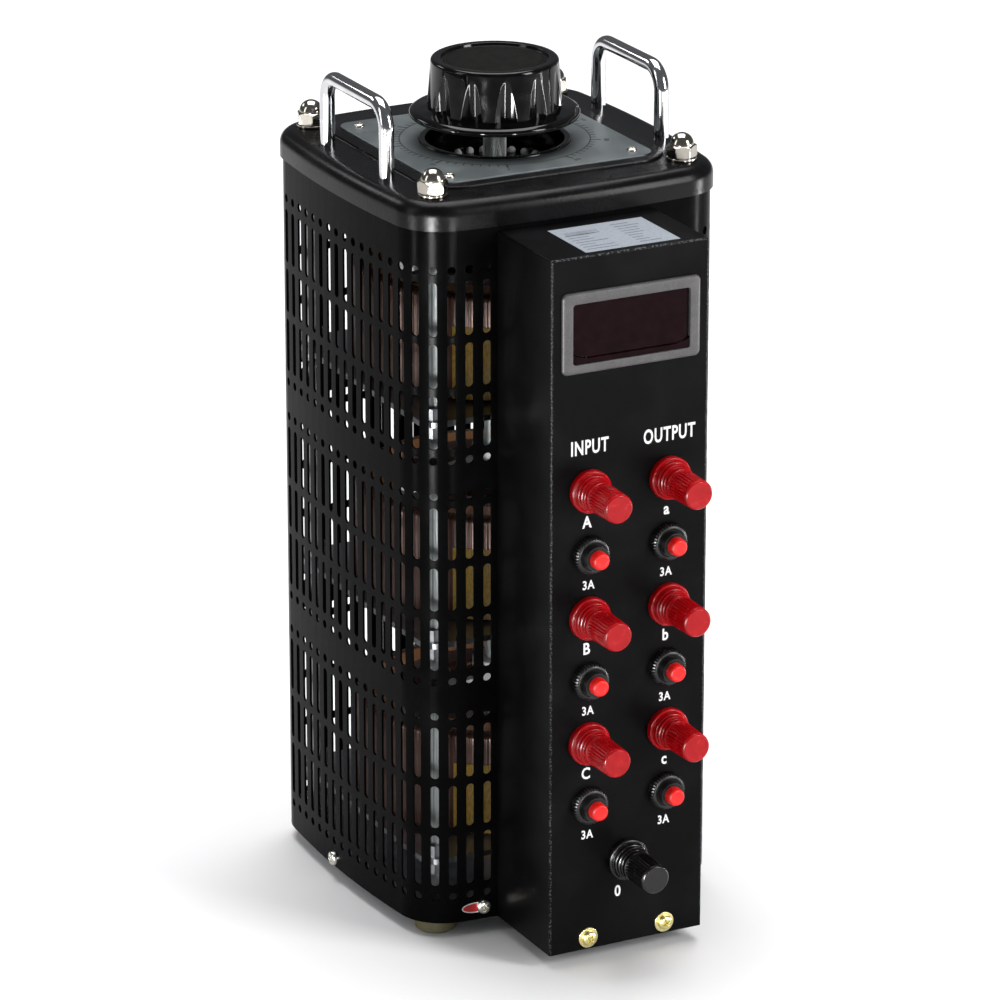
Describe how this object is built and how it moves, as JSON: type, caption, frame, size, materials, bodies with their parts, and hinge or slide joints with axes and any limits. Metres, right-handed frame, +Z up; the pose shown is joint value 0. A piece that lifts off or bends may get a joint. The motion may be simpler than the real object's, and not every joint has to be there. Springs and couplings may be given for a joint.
{
  "type": "variable autotransformer",
  "caption": "Upright three-phase variable autotransformer: slotted steel wrap round stacked toroidal coils, top knob and handles, front terminal box with meter.",
  "frame": {"origin": "under the middle of the whole object, on the surface its feet stand on", "axes": "+Z up along the shaft, -Y towards the terminal panel, +X to the right seen from the front"},
  "size_m": [0.1912, 0.2788, 0.4503],
  "materials": {
    "steel_zinc": "zinc plated",
    "foot_rubber": "matte, olive black",
    "wrap_enamel": "glossy black stove enamel",
    "cover_enamel": "glossy black stove enamel",
    "box_enamel": "satin black enamel",
    "screw_nickel": "nickel plated",
    "dial_metal": "satin, printed scale",
    "black_phenolic": "moulded",
    "knob_phenolic": "polished, moulded",
    "rod_steel": "bright drawn",
    "acorn_chrome": "warm bright nickel",
    "handle_chrome": "polished",
    "brass": "machined",
    "carbon": "carbon graphite",
    "screw_yellow_zinc": "yellow zinc plated",
    "meter_grey": "fine moulded grain",
    "meter_lens": "dark red tinted",
    "terminal_red": "moulded",
    "terminal_black": "moulded",
    "button_red": "moulded",
    "core_steel": "wound strip",
    "winding_wire": "enamelled copper wire",
    "arm_alloy": "cast"
  },
  "bodies": {
    "housing": {"base_plate": "steel_zinc", "rubber_feet": "foot_rubber", "perforated_shell": "wrap_enamel", "case_screws": "screw_nickel", "top_cover": "cover_enamel", "dial_plate": "dial_metal", "dial_screws": "screw_nickel", "bearing_cup": "black_phenolic", "tie_rods": "rod_steel", "rod_nuts": "steel_zinc", "acorn_nuts": "acorn_chrome", "handle_left": "handle_chrome", "handle_right": "handle_chrome", "handle_nuts": "steel_zinc", "shaft_bushes": "brass", "terminal_box": "box_enamel", "box_floor": "box_enamel", "box_screws": "screw_yellow_zinc", "meter_housing": "meter_grey", "meter_window": "meter_lens", "terminal_bases": "terminal_red", "neutral_base": "terminal_black", "terminal_studs": "brass", "breaker_bodies": "black_phenolic", "breaker_nuts": "black_phenolic", "core_1": "core_steel", "winding_1": "winding_wire", "coil_support_1": "steel_zinc", "core_2": "core_steel", "winding_2": "winding_wire", "coil_support_2": "steel_zinc", "core_3": "core_steel", "winding_3": "winding_wire", "coil_support_3": "steel_zinc"},
    "rotor": {"shaft": "rod_steel", "knob": "knob_phenolic", "brush_arm_1": "arm_alloy", "brush_arm_2": "arm_alloy", "brush_arm_3": "arm_alloy", "carbon_brushes": "carbon"},
    "clamp_input_a": {"clamp_collar_input_a": "terminal_red"},
    "cap_input_a": {"terminal_cap_input_a": "terminal_red"},
    "clamp_input_b": {"clamp_collar_input_b": "terminal_red"},
    "cap_input_b": {"terminal_cap_input_b": "terminal_red"},
    "clamp_input_c": {"clamp_collar_input_c": "terminal_red"},
    "cap_input_c": {"terminal_cap_input_c": "terminal_red"},
    "clamp_output_a": {"clamp_collar_output_a": "terminal_red"},
    "cap_output_a": {"terminal_cap_output_a": "terminal_red"},
    "clamp_output_b": {"clamp_collar_output_b": "terminal_red"},
    "cap_output_b": {"terminal_cap_output_b": "terminal_red"},
    "clamp_output_c": {"clamp_collar_output_c": "terminal_red"},
    "cap_output_c": {"terminal_cap_output_c": "terminal_red"},
    "clamp_neutral": {"clamp_collar_neutral": "terminal_black"},
    "cap_neutral": {"terminal_cap_neutral": "terminal_black"},
    "button_input_a": {"reset_button_input_a": "button_red"},
    "button_input_b": {"reset_button_input_b": "button_red"},
    "button_input_c": {"reset_button_input_c": "button_red"},
    "button_output_a": {"reset_button_output_a": "button_red"},
    "button_output_b": {"reset_button_output_b": "button_red"},
    "button_output_c": {"reset_button_output_c": "button_red"}
  },
  "joints": [
    {"name": "knob_turn", "type": "hinge", "parent": "housing", "child": "rotor", "pos_m": [0, 0.04385, 0], "axis": [0, 0, -1], "range_deg": [0, 320]},
    {"name": "clamp_slide_input_a", "type": "slide", "parent": "housing", "child": "clamp_input_a", "axis": [0, -1, 0], "range_m": [0, 0.004]},
    {"name": "cap_turn_input_a", "type": "hinge", "parent": "clamp_input_a", "child": "cap_input_a", "pos_m": [-0.023, -0.10675, 0.262], "axis": [0, -1, 0], "range_deg": [0, 1440]},
    {"name": "clamp_slide_input_b", "type": "slide", "parent": "housing", "child": "clamp_input_b", "axis": [0, -1, 0], "range_m": [0, 0.004]},
    {"name": "cap_turn_input_b", "type": "hinge", "parent": "clamp_input_b", "child": "cap_input_b", "pos_m": [-0.023, -0.10675, 0.193], "axis": [0, -1, 0], "range_deg": [0, 1440]},
    {"name": "clamp_slide_input_c", "type": "slide", "parent": "housing", "child": "clamp_input_c", "axis": [0, -1, 0], "range_m": [0, 0.004]},
    {"name": "cap_turn_input_c", "type": "hinge", "parent": "clamp_input_c", "child": "cap_input_c", "pos_m": [-0.023, -0.10675, 0.124], "axis": [0, -1, 0], "range_deg": [0, 1440]},
    {"name": "clamp_slide_output_a", "type": "slide", "parent": "housing", "child": "clamp_output_a", "axis": [0, -1, 0], "range_m": [0, 0.004]},
    {"name": "cap_turn_output_a", "type": "hinge", "parent": "clamp_output_a", "child": "cap_output_a", "pos_m": [0.023, -0.10675, 0.262], "axis": [0, -1, 0], "range_deg": [0, 1440]},
    {"name": "clamp_slide_output_b", "type": "slide", "parent": "housing", "child": "clamp_output_b", "axis": [0, -1, 0], "range_m": [0, 0.004]},
    {"name": "cap_turn_output_b", "type": "hinge", "parent": "clamp_output_b", "child": "cap_output_b", "pos_m": [0.023, -0.10675, 0.193], "axis": [0, -1, 0], "range_deg": [0, 1440]},
    {"name": "clamp_slide_output_c", "type": "slide", "parent": "housing", "child": "clamp_output_c", "axis": [0, -1, 0], "range_m": [0, 0.004]},
    {"name": "cap_turn_output_c", "type": "hinge", "parent": "clamp_output_c", "child": "cap_output_c", "pos_m": [0.023, -0.10675, 0.124], "axis": [0, -1, 0], "range_deg": [0, 1440]},
    {"name": "clamp_slide_neutral", "type": "slide", "parent": "housing", "child": "clamp_neutral", "axis": [0, -1, 0], "range_m": [0, 0.004]},
    {"name": "cap_turn_neutral", "type": "hinge", "parent": "clamp_neutral", "child": "cap_neutral", "pos_m": [0, -0.10675, 0.055], "axis": [0, -1, 0], "range_deg": [0, 1440]},
    {"name": "button_travel_input_a", "type": "slide", "parent": "housing", "child": "button_input_a", "axis": [0, -1, 0], "range_m": [-0.0015, 0.004], "stiffness_N_per_m": 300},
    {"name": "button_travel_input_b", "type": "slide", "parent": "housing", "child": "button_input_b", "axis": [0, -1, 0], "range_m": [-0.0015, 0.004], "stiffness_N_per_m": 300},
    {"name": "button_travel_input_c", "type": "slide", "parent": "housing", "child": "button_input_c", "axis": [0, -1, 0], "range_m": [-0.0015, 0.004], "stiffness_N_per_m": 300},
    {"name": "button_travel_output_a", "type": "slide", "parent": "housing", "child": "button_output_a", "axis": [0, -1, 0], "range_m": [-0.0015, 0.004], "stiffness_N_per_m": 300},
    {"name": "button_travel_output_b", "type": "slide", "parent": "housing", "child": "button_output_b", "axis": [0, -1, 0], "range_m": [-0.0015, 0.004], "stiffness_N_per_m": 300},
    {"name": "button_travel_output_c", "type": "slide", "parent": "housing", "child": "button_output_c", "axis": [0, -1, 0], "range_m": [-0.0015, 0.004], "stiffness_N_per_m": 300}
  ],
  "couplings": [
    {"joint": "clamp_slide_input_a", "follows": "cap_turn_input_a", "m_per_rad": 0.000159},
    {"joint": "clamp_slide_input_b", "follows": "cap_turn_input_b", "m_per_rad": 0.000159},
    {"joint": "clamp_slide_input_c", "follows": "cap_turn_input_c", "m_per_rad": 0.000159},
    {"joint": "clamp_slide_output_a", "follows": "cap_turn_output_a", "m_per_rad": 0.000159},
    {"joint": "clamp_slide_output_b", "follows": "cap_turn_output_b", "m_per_rad": 0.000159},
    {"joint": "clamp_slide_output_c", "follows": "cap_turn_output_c", "m_per_rad": 0.000159},
    {"joint": "clamp_slide_neutral", "follows": "cap_turn_neutral", "m_per_rad": 0.000159}
  ]
}
